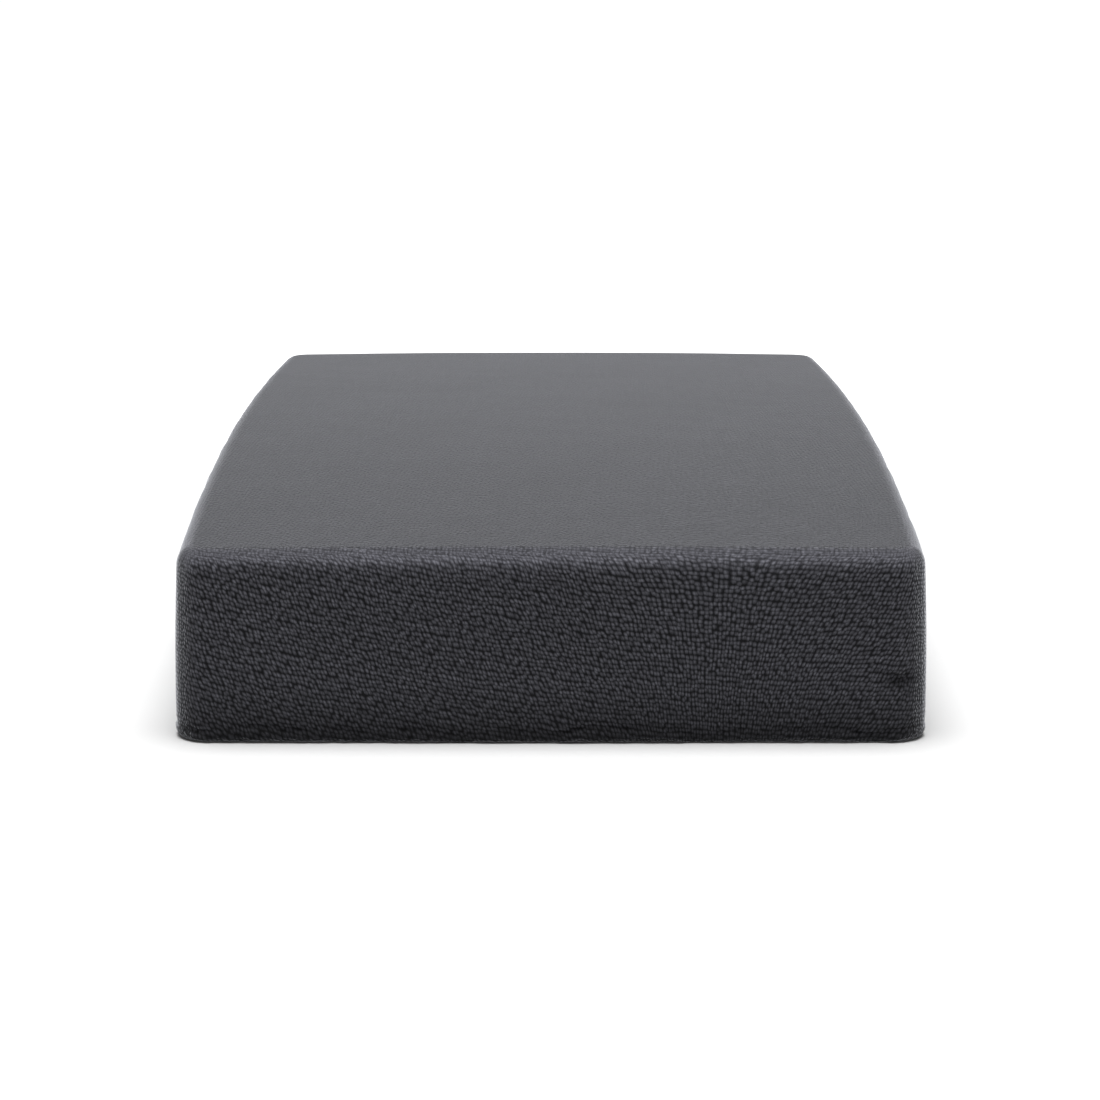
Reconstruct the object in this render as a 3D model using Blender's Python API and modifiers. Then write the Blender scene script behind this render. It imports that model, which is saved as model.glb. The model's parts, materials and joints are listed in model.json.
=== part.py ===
"""A single-size futon mattress: foam and batting in a plain liner, inside a zip-off pile-fabric cover.

Metres, +Z up. The origin is the middle of the underside, on the floor. +X runs across the mattress and
+Y along it, from the plain end towards the end with the zip.
"""

from math import pi

import bmesh
import bpy

# Driving dimensions, in metres.
END_WIDTH = 0.990        # width at the two ends
LENGTH = 1.905
END_HEIGHT = 0.259       # height along the end edges
SIDE_BULGE = 0.015       # how far each long side stands out at mid-length
CROWN_ALONG = 0.020      # how much higher the top is at mid-length than at the ends
CROWN_ACROSS = 0.0036    # how much higher it is at mid-width than at the sides
CORNER_RADIUS = 0.045    # upright corners
TOP_EDGE_RADIUS = 0.025
COVER_WALL = 0.004       # pile fabric with its backing
BASE_FABRIC = 0.002
LINER_CLOTH = 0.001
GAP = 0.0005             # air between touching layers
LINER_END_INSET = 0.0135 # room for the zip behind the rear wall
BATTING = 0.025          # thickness of a layer
FOAM = 0.075
MIDDLE_RISE = 0.3        # share of the crown that the middle layers take
CUTS_ALONG = 12          # strips that let a panel bend to the crown
CUTS_ACROSS = 8

ZIP_HEIGHT = 0.045       # of the zip's centre line above the floor
ZIP_HALF_LENGTH = 0.420  # coils, from the middle to either end
ZIP_SLIT = 0.0016        # between the two coils
COIL_WIDTH = 0.0026
COIL_DEPTH = 0.0020
COIL_GAP = 0.0003        # between coil and tape
TAPE_WIDTH = 0.015
TAPE_THICKNESS = 0.0008
COIL_ROUNDING = 0.0007
SLOT_HEIGHT = 0.013      # opening in the cover that the zip closes
SLOT_OVER = 0.010        # how much longer it is than the coils
TAPE_OVER = 0.020
STOP_LENGTH = 0.0035
STOP_WIDTH = 0.008
STOP_AT = 0.0022         # from the end of the coils
STOP_GAP = 0.003         # between the closed slider and the end of the coils
RUNNING_GAP = 0.0005     # between the slider and what it slides on
SLIDER_LENGTH = 0.012
SLIDER_WIDTH = 0.010
PLATE = 0.0014           # slider's two plates
PLATE_EDGE = 0.0004      # rounding
NECK_LENGTH = 0.003
NECK_PLAY = 0.0007
SLIDER_WALL = 0.0009
LOOP_LENGTH = 0.0086
LOOP_WIDTH = 0.0018
LOOP_OVER = 0.0016       # how far it stands out past the pull's axis
EYE_RADIUS = 0.0011
AXIS_OUT = 0.0028        # of the pull's axis, from the face of the cover
PULL_LENGTH = 0.030
PULL_WIDTH = 0.0064
PULL_THICKNESS = 0.0011
PULL_START = 0.005       # of the tab, from its axis
PIN_RADIUS = 0.0006
ARM = (0.0065, 0.0010, 0.0012)
ARM_MIDDLE = 0.0028      # from the axis
ARM_INSET = 0.0008       # of its middle from the tab's edge
HOLE_RADIUS = 0.0017
HOLE_INSET = 0.0045
CUTTER_DEPTH = 0.006
LABEL = (0.032, 0.0006, 0.028)
LABEL_AT = 0.045         # from the open end of the coils
LABEL_DROP = 0.0025      # from the slot's lower edge to its top
LABEL_OUT = 0.0007       # of its middle from the cover

# Worked out from those.
REAR = LENGTH / 2
HALF_WIDTH = END_WIDTH / 2
LINER_INSET = (COVER_WALL + 2 * GAP, LINER_END_INSET)
FILL_INSET = (LINER_INSET[0] + LINER_CLOTH + GAP, LINER_INSET[1] + LINER_CLOTH + GAP)
TAPE_FACE = REAR - COVER_WALL - GAP               # outer face of the zip tapes
COIL_FACE = TAPE_FACE + COIL_GAP + COIL_DEPTH     # outer face of the coils
FRONT_PLATE = COIL_FACE + RUNNING_GAP + PLATE / 2
BACK_PLATE = TAPE_FACE - TAPE_THICKNESS - RUNNING_GAP - COIL_GAP - PLATE / 2
PULL_AXIS = REAR + AXIS_OUT                       # where the pull turns, clear of the pile
SLIDER_X = ZIP_HALF_LENGTH - STOP_GAP - SLIDER_LENGTH / 2

for old in list(bpy.data.objects):
    bpy.data.objects.remove(old, do_unlink=True)

parts = bpy.data.collections.new("futon_mattress")
cutters = bpy.data.collections.new("cutters")
for collection in (parts, cutters):
    bpy.context.scene.collection.children.link(collection)


def material(name, colour, roughness, metallic=0.0):
    """A Principled material with one colour."""
    made = bpy.data.materials.new(name)
    made.use_nodes = True
    shader = made.node_tree.nodes["Principled BSDF"]
    shader.inputs["Base Color"].default_value = (*colour, 1.0)
    shader.inputs["Roughness"].default_value = roughness
    shader.inputs["Metallic"].default_value = metallic
    return made


def add(name, bm, finish=None):
    """The mesh as an object: a part if it has a finish, a helper if it has none."""
    mesh = bpy.data.meshes.new(name)
    bmesh.ops.recalc_face_normals(bm, faces=bm.faces)
    bm.to_mesh(mesh)
    bm.free()
    made = bpy.data.objects.new(name, mesh)
    (parts if finish else cutters).objects.link(made)
    if finish:
        mesh.materials.append(finish)
        mesh.shade_smooth()
        mesh.set_sharp_from_angle(angle=pi / 6)
    else:
        made.hide_render = True
        made.display_type = "WIRE"
    return made


def box(name, size, finish=None, rounding=0.0, segments=2):
    """A box about its own origin, with every edge rounded."""
    bm = bmesh.new()
    bmesh.ops.create_cube(bm, size=1.0)
    bmesh.ops.scale(bm, vec=size, verts=bm.verts)
    if rounding:
        bmesh.ops.bevel(bm, geom=bm.edges[:], offset=rounding, segments=segments, profile=0.5, affect="EDGES")
    return add(name, bm, finish)


def rod(name, radius, length, sides=16):
    """A helper rod along Z."""
    bm = bmesh.new()
    bmesh.ops.create_cone(
        bm, cap_ends=True, segments=sides, radius1=radius, radius2=radius, depth=length
    )
    return add(name, bm)


def combine(target, helper, operation, place):
    """Puts the helper in the target's space and joins it to the target or cuts it away."""
    helper.parent = target
    helper.location = place
    modifier = target.modifiers.new(helper.name, "BOOLEAN")
    modifier.operation = operation
    modifier.object = helper
    modifier.solver = "EXACT"


def crown(x, y):
    """Height of the domed top over its end corners."""
    along = 1 - (y / (LENGTH / 2)) ** 2
    across = 1 - (x / HALF_WIDTH) ** 2
    return CROWN_ALONG * along + CROWN_ACROSS * across


def slab(inset, low, high, rise=(0.0, 0.0), top_edge=0.0):
    """A block of the mattress's plan, inset from its sides and ends, as a bmesh.

    Its underside and its top each take the given share of the crown.
    """
    bm = bmesh.new()
    bmesh.ops.create_cube(bm, size=1.0)
    bmesh.ops.scale(bm, vec=(END_WIDTH - 2 * inset[0], LENGTH - 2 * inset[1], high - low), verts=bm.verts)
    bmesh.ops.translate(bm, vec=(0, 0, (low + high) / 2), verts=bm.verts)
    uprights = [edge for edge in bm.edges if abs(edge.verts[0].co.z - edge.verts[1].co.z) > GAP / 2]
    bmesh.ops.bevel(
        bm, geom=uprights, offset=CORNER_RADIUS - inset[0], segments=5, profile=0.5, affect="EDGES"
    )
    if top_edge:
        rim = [edge for edge in bm.edges if all(abs(vert.co.z - high) < GAP / 10 for vert in edge.verts)]
        bmesh.ops.bevel(bm, geom=rim, offset=top_edge, segments=4, profile=0.5, affect="EDGES")
    cuts = [
        (step * size / count, axis)
        for size, count, axis in ((LENGTH, CUTS_ALONG, 1), (END_WIDTH, CUTS_ACROSS, 0))
        for step in range(1 - count // 2, count // 2)
    ]
    for place, axis in cuts:
        normal = [float(axis == i) for i in range(3)]
        bmesh.ops.bisect_plane(
            bm,
            geom=bm.verts[:] + bm.edges[:] + bm.faces[:],
            dist=GAP / 500,
            plane_co=[place * way for way in normal],
            plane_no=normal,
        )
    for vert in bm.verts:
        x, y, z = vert.co
        share = rise[0] + (rise[1] - rise[0]) * (z - low) / (high - low)
        bulge = SIDE_BULGE * (1 - (y / (LENGTH / 2)) ** 2)
        vert.co = (x * (1 + bulge / HALF_WIDTH), y, z + share * crown(x, y))
    return bm


def thicken(made, wall):
    """Gives an open skin its wall, on the inside."""
    modifier = made.modifiers.new("wall", "SOLIDIFY")
    modifier.thickness = wall
    modifier.offset = -1.0
    modifier.use_even_offset = True


# Outer cover: the pile fabric is one piece over the top and all four sides. Its lower edge is sewn to the
# base panel, and the rear end has a slot low down that the zip closes.
pile = material("pile_fabric", (0.033, 0.033, 0.038), 1.0)
body = slab((0, 0), 0.0, END_HEIGHT, rise=(0.0, 1.0), top_edge=TOP_EDGE_RADIUS)
underside = [face for face in body.faces if all(vert.co.z < GAP / 10 for vert in face.verts)]
bmesh.ops.delete(body, geom=underside, context="FACES")
cover = add("cover_shell", body, pile)
thicken(cover, COVER_WALL)
slot = box("zip_slot", (2 * ZIP_HALF_LENGTH + SLOT_OVER, 6 * COVER_WALL, SLOT_HEIGHT))
combine(cover, slot, "DIFFERENCE", (0, REAR - COVER_WALL / 2, ZIP_HEIGHT))

base_inset = COVER_WALL + GAP
base = slab((base_inset, base_inset), 0.0, BASE_FABRIC)
add("cover_base_panel", base, material("base_fabric", (0.022, 0.022, 0.024), 0.9))

# Liner: two panels sewn to a border, round the whole fill.
liner_cloth = material("liner_cloth", (0.80, 0.78, 0.73), 0.95)
liner_low = BASE_FABRIC + 2 * GAP
liner_top = END_HEIGHT - COVER_WALL - GAP
panel_inset = (LINER_INSET[0] - GAP, LINER_INSET[1] - GAP)
add("liner_base_panel", slab(panel_inset, liner_low, liner_low + LINER_CLOTH), liner_cloth)
top_panel = slab(
    (TOP_EDGE_RADIUS, TOP_EDGE_RADIUS), liner_top - LINER_CLOTH, liner_top, rise=(1.0, 1.0)
)
add("liner_top_panel", top_panel, liner_cloth)
border_low = liner_low + LINER_CLOTH + GAP
border_top = END_HEIGHT - TOP_EDGE_RADIUS
border = slab(LINER_INSET, border_low, border_top, rise=(0.0, 1.0))
ends = [
    face
    for face in border.faces
    if all(vert.co.z < border_low + GAP / 10 for vert in face.verts)
    or all(abs(vert.co.z - border_top - crown(vert.co.x, vert.co.y)) < BASE_FABRIC for vert in face.verts)
]
bmesh.ops.delete(border, geom=ends, context="FACES")
thicken(add("liner_border", border, liner_cloth), LINER_CLOTH)

# Fill: layers of batting and foam, from the floor up, each with its thickness and the share of the crown
# that its top takes.
batting = material("batting", (0.87, 0.85, 0.80), 1.0)
foam = material("polyurethane_foam", (0.83, 0.78, 0.62), 0.9)
layers = (
    ("batting_bottom", BATTING, 0.0, batting),
    ("foam_lower", FOAM, 0.0, foam),
    ("batting_middle", BATTING, MIDDLE_RISE, batting),
    ("foam_upper", FOAM, MIDDLE_RISE, foam),
    ("batting_top", None, 1.0, batting),
)
low = border_low
share = 0.0
for name, thickness, top_share, finish in layers:
    is_top = thickness is None
    high = liner_top - LINER_CLOTH - GAP if is_top else low + thickness
    layer = slab(FILL_INSET, low, high, rise=(share, top_share), top_edge=TOP_EDGE_RADIUS if is_top else 0.0)
    add(name, layer, finish)
    low, share = high + GAP, top_share

# Zip: two woven tapes, each with a nylon coil on its edge, and a moulded stop over either end.
tape_cloth = material("polyester_tape", (0.018, 0.018, 0.020), 0.8)
nylon = material("nylon_coil", (0.020, 0.020, 0.022), 0.35)
for side, way in (("upper", 1), ("lower", -1)):
    tape = box(
        "zip_tape_" + side, (2 * ZIP_HALF_LENGTH + TAPE_OVER, TAPE_THICKNESS, TAPE_WIDTH), tape_cloth
    )
    middle = ZIP_HEIGHT + way * (ZIP_SLIT / 2 + TAPE_WIDTH / 2)
    tape.location = (0, TAPE_FACE - TAPE_THICKNESS / 2, middle)
    coil = box(
        "zip_coil_" + side, (2 * ZIP_HALF_LENGTH, COIL_DEPTH, COIL_WIDTH), nylon, COIL_ROUNDING, segments=3
    )
    middle = ZIP_HEIGHT + way * (ZIP_SLIT / 2 + COIL_WIDTH / 2)
    coil.location = (0, COIL_FACE - COIL_DEPTH / 2, middle)
for side, way in (("open_end", -1), ("closed_end", 1)):
    stop = box("zip_stop_" + side, (STOP_LENGTH, COIL_DEPTH, STOP_WIDTH), nylon, PLATE_EDGE)
    stop.location = (way * (ZIP_HALF_LENGTH + STOP_AT), COIL_FACE - COIL_DEPTH / 2, ZIP_HEIGHT)

# Slider: a plate on either side of the tapes, joined by a neck that runs in the slit between the coils, with
# side walls that hold the coils and a loop on the outer plate for the pull. It slides along X.
zinc = material("die_cast_zinc", (0.035, 0.035, 0.038), 0.35, 1.0)
slider = box("zip_slider", (SLIDER_LENGTH, PLATE, SLIDER_WIDTH), zinc, PLATE_EDGE)
slider.location = (SLIDER_X, FRONT_PLATE, ZIP_HEIGHT)
to_back = BACK_PLATE - FRONT_PLATE
neck = box("slider_neck", (NECK_LENGTH, PLATE / 2 - to_back, ZIP_SLIT - NECK_PLAY))
combine(slider, neck, "UNION", (SLIDER_LENGTH / 2 - NECK_LENGTH, to_back / 2, 0))
back_size = (SLIDER_LENGTH - 2 * RUNNING_GAP, PLATE, SLIDER_WIDTH - 2 * RUNNING_GAP)
back = box("slider_back_plate", back_size, rounding=PLATE_EDGE)
combine(slider, back, "UNION", (0, to_back, 0))
for side, way in (("upper", 1), ("lower", -1)):
    wall = box("slider_wall_" + side, (SLIDER_LENGTH - PLATE, COIL_DEPTH, SLIDER_WALL))
    wall_at = (0, COIL_GAP - (PLATE + COIL_DEPTH) / 2, way * (SLIDER_WIDTH / 2 - NECK_PLAY))
    combine(slider, wall, "UNION", wall_at)
loop_out = PULL_AXIS - FRONT_PLATE
loop = box("slider_loop", (LOOP_LENGTH, loop_out + LOOP_OVER, LOOP_WIDTH), rounding=PLATE_EDGE)
combine(slider, loop, "UNION", (0, (loop_out + LOOP_OVER) / 2, 0))
eye = rod("slider_eye", EYE_RADIUS, CUTTER_DEPTH)
combine(slider, eye, "DIFFERENCE", (0, loop_out, 0))

# Pull: a flat tab whose cross pin turns in the slider's loop, about Z. It lies along the closed coils.
pull = box("zip_pull", (PULL_LENGTH - PULL_START, PULL_THICKNESS, PULL_WIDTH), zinc, PLATE_EDGE)
centre = (PULL_START + PULL_LENGTH) / 2
for vert in pull.data.vertices:
    vert.co.x -= centre
pull.location = (SLIDER_X, PULL_AXIS, ZIP_HEIGHT)
combine(pull, rod("pull_pin", PIN_RADIUS, PULL_WIDTH - PIN_RADIUS, sides=12), "UNION", (0, 0, 0))
for side, way in (("upper", 1), ("lower", -1)):
    arm = box("pull_arm_" + side, ARM)
    combine(pull, arm, "UNION", (-ARM_MIDDLE, 0, way * (PULL_WIDTH / 2 - ARM_INSET)))
thumb_hole = rod("pull_hole", HOLE_RADIUS, CUTTER_DEPTH)
thumb_hole.rotation_euler = (pi / 2, 0, 0)
combine(pull, thumb_hole, "DIFFERENCE", (HOLE_INSET - PULL_LENGTH, 0, 0))

# Label: a blank folded ribbon under the zip's open end, sewn to the cover by its top edge.
label = box("care_label", LABEL, material("satin_ribbon", (0.70, 0.70, 0.68), 0.5))
label_middle = ZIP_HEIGHT - SLOT_HEIGHT / 2 - LABEL_DROP - LABEL[2] / 2
label.location = (LABEL_AT - ZIP_HALF_LENGTH, REAR + LABEL_OUT, label_middle)
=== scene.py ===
import json
from math import pi

import bpy
import numpy as np
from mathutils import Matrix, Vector

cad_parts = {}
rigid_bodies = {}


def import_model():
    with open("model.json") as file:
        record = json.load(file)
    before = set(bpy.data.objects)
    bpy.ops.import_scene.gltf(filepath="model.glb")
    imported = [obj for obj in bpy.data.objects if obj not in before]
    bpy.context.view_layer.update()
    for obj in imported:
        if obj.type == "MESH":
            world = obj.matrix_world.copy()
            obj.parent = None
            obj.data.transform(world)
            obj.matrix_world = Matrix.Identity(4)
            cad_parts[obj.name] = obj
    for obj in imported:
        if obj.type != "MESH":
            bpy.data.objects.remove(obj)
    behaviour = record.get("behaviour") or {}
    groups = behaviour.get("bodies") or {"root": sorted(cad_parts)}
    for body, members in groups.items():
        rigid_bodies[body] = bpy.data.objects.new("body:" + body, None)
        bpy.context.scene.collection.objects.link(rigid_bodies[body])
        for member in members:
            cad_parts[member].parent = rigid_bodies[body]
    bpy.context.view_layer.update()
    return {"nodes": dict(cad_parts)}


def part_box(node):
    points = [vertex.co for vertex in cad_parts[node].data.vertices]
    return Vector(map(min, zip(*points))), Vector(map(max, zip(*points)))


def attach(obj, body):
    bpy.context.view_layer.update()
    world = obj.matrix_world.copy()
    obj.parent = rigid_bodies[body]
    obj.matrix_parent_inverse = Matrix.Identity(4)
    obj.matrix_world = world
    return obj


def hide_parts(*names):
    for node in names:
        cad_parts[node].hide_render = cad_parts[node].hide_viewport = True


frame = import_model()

nodes = frame["nodes"]


# ---- Studio ------------------------------------------------------------------------------------------
# White backdrop paper under and far behind the mattress, a large softbox overhead, a smaller one behind the
# far end, and white air all round. The camera has a long lens and looks at the plain end from a little above.

EYE = (-0.0011, -5.2476, 1.1145)
EYE_DOWN = 0.196                 # radians below the horizon
LENS_MM = 109.1
SENSOR_MM = 36

camera = bpy.data.objects.new("camera", bpy.data.cameras.new("camera"))
bpy.context.scene.collection.objects.link(camera)
camera.location = EYE
camera.rotation_euler = (pi / 2 - EYE_DOWN, 0, 0)
camera.data.lens = LENS_MM
camera.data.sensor_width = SENSOR_MM
bpy.context.scene.camera = camera
bpy.context.scene.view_settings.view_transform = "Standard"


def linear(code):
    """An sRGB hex colour as a linear one, with alpha."""
    parts = [int(code[i:i + 2], 16) / 255 for i in (1, 3, 5)]
    return tuple(c / 12.92 if c <= 0.04045 else ((c + 0.055) / 1.055) ** 2.4 for c in parts) + (1.0,)


def node(material, kind, links=(), **settings):
    """Adds a node. Settings name its properties, or its inputs after in_. Links are (input, node, output)."""
    made = material.node_tree.nodes.new(kind)
    for key, value in settings.items():
        if key.startswith("in_"):
            made.inputs[key[3:].replace("_", " ")].default_value = value
        else:
            setattr(made, key, value)
    for into, source, out in links:
        material.node_tree.links.new(source.outputs[out], made.inputs[into])
    return made


def new_material(name):
    """A node material with nothing in it yet."""
    material = bpy.data.materials.new(name)
    material.use_nodes = True
    material.node_tree.nodes.clear()
    return material


def finish_material(material, shader):
    """Sends the shader to the output."""
    out = material.node_tree.nodes.new("ShaderNodeOutputMaterial")
    material.node_tree.links.new(shader.outputs[0], out.inputs["Surface"])
    return material


def deselect():
    """Leaves nothing selected, because an operator acts on all that is."""
    for obj in bpy.context.view_layer.objects:
        obj.select_set(False)


FLOOR_SIZE = 160.0
AIR_STRENGTH = 0.30
deselect()
bpy.ops.mesh.primitive_plane_add(size=FLOOR_SIZE, location=(0, 0, 0))
floor = bpy.context.object
floor.name = "floor"
paper = new_material("matt_backdrop_paper")
shader = node(paper, "ShaderNodeBsdfPrincipled", in_Base_Color=linear("#cfcfcf"), in_Roughness=1.0)
floor.data.materials.append(finish_material(paper, shader))

world = bpy.data.worlds.new("studio_air")
world.use_nodes = True
world.node_tree.nodes["Background"].inputs["Color"].default_value = (1.0, 1.0, 1.0, 1.0)
world.node_tree.nodes["Background"].inputs["Strength"].default_value = AIR_STRENGTH
bpy.context.scene.world = world

KEY_RISE = 88                    # degrees above the horizon
KEY_TURN = -8                    # degrees, turned about the upright
KEY_SPREAD = 40                  # degrees that the softbox takes up, seen from the mattress
KEY_STRENGTH = 4.4
key = bpy.data.objects.new("overhead_softbox", bpy.data.lights.new("overhead_softbox", "SUN"))
bpy.context.scene.collection.objects.link(key)
key.data.energy = KEY_STRENGTH
key.data.angle = KEY_SPREAD * pi / 180
key.rotation_euler = (pi / 2 - KEY_RISE * pi / 180, 0, KEY_TURN * pi / 180)

BACK_AT = (0.0, 3.4, 1.9)        # behind the far end, above the view
BACK_AIM = (0.0, 0.7, 0.28)
BACK_SIZE = (2.6, 0.9)
BACK_WATTS = 48
back = bpy.data.objects.new("back_softbox", bpy.data.lights.new("back_softbox", "AREA"))
bpy.context.scene.collection.objects.link(back)
back.data.shape = "RECTANGLE"
back.data.size, back.data.size_y = BACK_SIZE
back.data.energy = BACK_WATTS
back.location = BACK_AT
back.rotation_euler = (Vector(BACK_AIM) - Vector(BACK_AT)).to_track_quat("-Z", "Y").to_euler()


# ---- Pile cover --------------------------------------------------------------------------------------
# One piece of charcoal polyester pile over the top and all four sides, turned under at the floor, with a
# seam down each upright corner. It is woven with rows of tufts, and the stuffed mattress holds it tight. The
# mesh is the cloth's own surface, and the material colours and raises the tufts on it.

END_WIDTH = 0.990
LENGTH = 1.905
END_HEIGHT = 0.259
SIDE_BULGE = 0.0151              # of the long sides, seen from above
END_BULGE = 0.0043               # of the ends, seen from above
WALL_BULGE = 0.0033              # of the long sides, from floor to top
CROWN_ALONG = 0.0201             # how much the top rises from the ends to mid-length
CROWN_ACROSS = 0.0036            # and from the sides to the middle
FLARE = 0.0050                   # how much wider the sides stand at the floor
BULGE_POWER = 1.96               # 2 is a parabola
TOP_EDGE = 0.0247                # radius of the fold round the top
UPRIGHT_EDGE = 0.0447            # radius of the corners, seen from above
LOW_EDGE = 0.012                 # radius of the fold at the floor
TURN_UNDER = 0.024               # hem of pile that lies on the floor
ZIP_AT = 0.045                   # height of the zip on the far end
SLOT_HALF = (0.425, 0.0065)      # half length and half height of the opening that the zip closes
SLOT_TURNED_IN = 0.0032          # depth of the opening's folded edge
FLAT_PAST = (0.011, 0.031)       # where the flat cloth round the opening ends: past its two ends
FLAT_OVER = (0.009, 0.040)       # and over the zip's centre line

TUFT_PITCH = 0.0053              # across, along a row of tufts
ROW_PITCH = 0.0062               # from row to row
ROW_SLOPE = 0.25                 # how far the rows lean off square at the left side
COLUMN_SLOPE = 0.08              # how far the columns lean on the plain end
BRUSHED = 0.5                    # how far a tuft leans to the side in one row, in tufts
BRUSH_TURN = (0.05, 0.42)        # where across the end the slant changes over
STRETCH = 0.0022                 # how far the uneven stretch moves the tufts
LOCK = (0.0021, 0.0095)          # width and length of a lock of fibres
WAVE_TURN = pi / 10              # a wave texture's scale for one band in each unit
CELL_X = END_WIDTH / 240         # of the mesh
CELL_Y = LENGTH / 462

BAND_AT = 0.019                  # height of the groove over the gathered band at the floor
BAND_WANDER = 0.005              # how far the groove strays up and down
GROOVE = 0.0050                  # depth of that groove
GATHER = 0.0015                  # depth of the gathers under it
UNDULATION = 0.0010              # depth of the slow waves all over
DIMPLE = (0.461, 0.085)          # across and up the plain end, as are the creases
DIMPLE_HALF = (0.0190, 0.0120)
DIMPLE_DEPTH = 0.0078
CREASE_DEPTH = 0.0026
# Each crease: its middle across and up, its rise per metre, its half length and its half width.
LEVEL_CREASES = (
    (0.430, 0.126, 0.06, 0.016, 0.0022),
    (0.453, 0.094, -0.25, 0.018, 0.0024),
    (0.472, 0.0647, 0.35, 0.014, 0.0024),
)
UPRIGHT_CREASE = (0.085, 0.471, 0.2, 0.015, 0.0024)    # the same with across and up changed round

half_x, half_y = END_WIDTH / 2, LENGTH / 2
reach_x = half_x + END_HEIGHT + TURN_UNDER
reach_y = half_y + END_HEIGHT + TURN_UNDER


def skew(x):
    """How far the rows have moved along the mattress at x, because the fabric lies a little askew."""
    share = np.clip((half_x - x) / END_WIDTH, 0.0, 1.0)
    return ROW_SLOPE * END_WIDTH * share ** 2 / 2


def coords(mesh):
    """The mesh's points as an array."""
    found = np.empty(len(mesh.vertices) * 3)
    mesh.vertices.foreach_get("co", found)
    return found.reshape(-1, 3)


def move(mesh, points):
    """Puts the mesh's points where the array says."""
    mesh.vertices.foreach_set("co", np.ascontiguousarray(points, np.float32).ravel())
    mesh.update()


def mark(mesh, name, values):
    """Stores a value for each point, which a material or a later step reads by its name."""
    mesh.attributes.new(name, "FLOAT", "POINT").data.foreach_set("value", np.asarray(values, np.float32))


def marked(mesh, name):
    """The values that mark stored."""
    found = np.empty(len(mesh.vertices), np.float32)
    mesh.attributes[name].data.foreach_get("value", found)
    return found


def waves(places, sizes, seed):
    """A smooth random value for each place: a few sine waves of each size, in metres, from about -1 to 1."""
    draw = np.random.default_rng(seed)
    total = np.zeros(len(places))
    for size in sizes:
        for _ in range(4):
            way = draw.normal(size=places.shape[1])
            total += np.sin(places @ (way / np.linalg.norm(way)) * 2 * pi / size + draw.uniform(0, 2 * pi))
    return total / (2 * len(sizes))


def corner_points(mesh):
    """Which point each corner of each face lies on, as an array."""
    found = np.empty(len(mesh.loops), np.int32)
    mesh.loops.foreach_get("vertex_index", found)
    return found


def fade(value, low, high):
    """0 below low, 1 above high, and smooth in between."""
    share = np.clip((value - low) / (high - low), 0, 1)
    return share * share * (3 - 2 * share)


def near(value, centre, width):
    """1 at the centre, falling to 0 over about two widths."""
    return np.exp(-((value - centre) / width) ** 2)


def crease(run, rise, at_run, at_rise, slope, half_length, half_width):
    """1 along a short straight crease, falling to 0 beside it and past its ends."""
    return near(rise, at_rise + slope * (run - at_run), half_width) * near(run, at_run, half_length)


# The cut pattern, flat: a cell lands on every fold, so that the flaps' edges meet point for point.
columns, rows = (2 * int(np.ceil(reach / cell)) for reach, cell in ((reach_x, CELL_X), (reach_y, CELL_Y)))
deselect()
bpy.ops.mesh.primitive_grid_add(x_subdivisions=columns, y_subdivisions=rows, size=1)
cover = bpy.context.object
cover.name = "pile_cover"
cover.data.name = "pile_cover"
flat = coords(cover.data) * (columns * CELL_X, rows * CELL_Y, 0)
move(cover.data, flat)

# Cut out: the four notches, where the flaps meet down the upright corners, and the slot for the zip.
over_x, over_y = np.abs(flat[:, 0]) - half_x, np.abs(flat[:, 1]) - half_y
outside = (over_x > -CELL_X / 4) & (over_y > -CELL_Y / 4)
off_slot = np.maximum(
    np.abs(flat[:, 0]) - SLOT_HALF[0], np.abs(END_HEIGHT - (flat[:, 1] - half_y) - ZIP_AT) - SLOT_HALF[1]
)
outside |= off_slot < 0
deselect()
cover.select_set(True)
bpy.context.tool_settings.mesh_select_mode = (False, False, True)
bpy.ops.object.mode_set(mode="EDIT")
bpy.ops.mesh.select_all(action="DESELECT")
bpy.ops.object.mode_set(mode="OBJECT")
cover.data.polygons.foreach_set("select", outside[corner_points(cover.data).reshape(-1, 4)].all(axis=1))
bpy.ops.object.mode_set(mode="EDIT")
bpy.ops.mesh.delete(type="FACE")
bpy.ops.object.mode_set(mode="OBJECT")
flat = coords(cover.data)

# What still reaches into the slot is drawn back to its edge, where it is turned in.
slot_x = np.abs(flat[:, 0]) - SLOT_HALF[0]
slot_z = END_HEIGHT - (flat[:, 1] - half_y) - ZIP_AT
turned_in = (slot_x < 0) & (np.abs(slot_z) < SLOT_HALF[1])
by_end = turned_in & (slot_x > np.abs(slot_z) - SLOT_HALF[1])
flat[:, 0] = np.where(by_end, np.sign(flat[:, 0]) * SLOT_HALF[0], flat[:, 0])
flat[:, 1] -= np.where(turned_in & ~by_end, np.sign(slot_z) * SLOT_HALF[1] - slot_z, 0.0)

# Folded over the sharp box that the mattress would be. The hem turned under is mitred at the corners.
sign_x, sign_y = np.sign(flat[:, 0]), np.sign(flat[:, 1])
over_x, over_y = np.abs(flat[:, 0]) - half_x, np.abs(flat[:, 1]) - half_y
on_side = over_x > over_y
most = END_HEIGHT + TURN_UNDER
over_x, over_y = np.minimum(over_x, most), np.minimum(over_y, most)
fold_x, fold_y = np.maximum(over_x - END_HEIGHT, 0), np.maximum(over_y - END_HEIGHT, 0)
over_y = np.where(on_side & (over_x > 0), np.minimum(over_y, -fold_x), over_y)
over_x = np.where(~on_side & (over_y > 0), np.minimum(over_x, -fold_y), over_x)
drop = np.clip(np.maximum(over_x, over_y), 0, END_HEIGHT)
across = np.where(on_side, np.minimum(over_x, 0) - fold_x, over_x)
along = np.where(on_side, over_y, np.minimum(over_y, 0) - fold_y)

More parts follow.
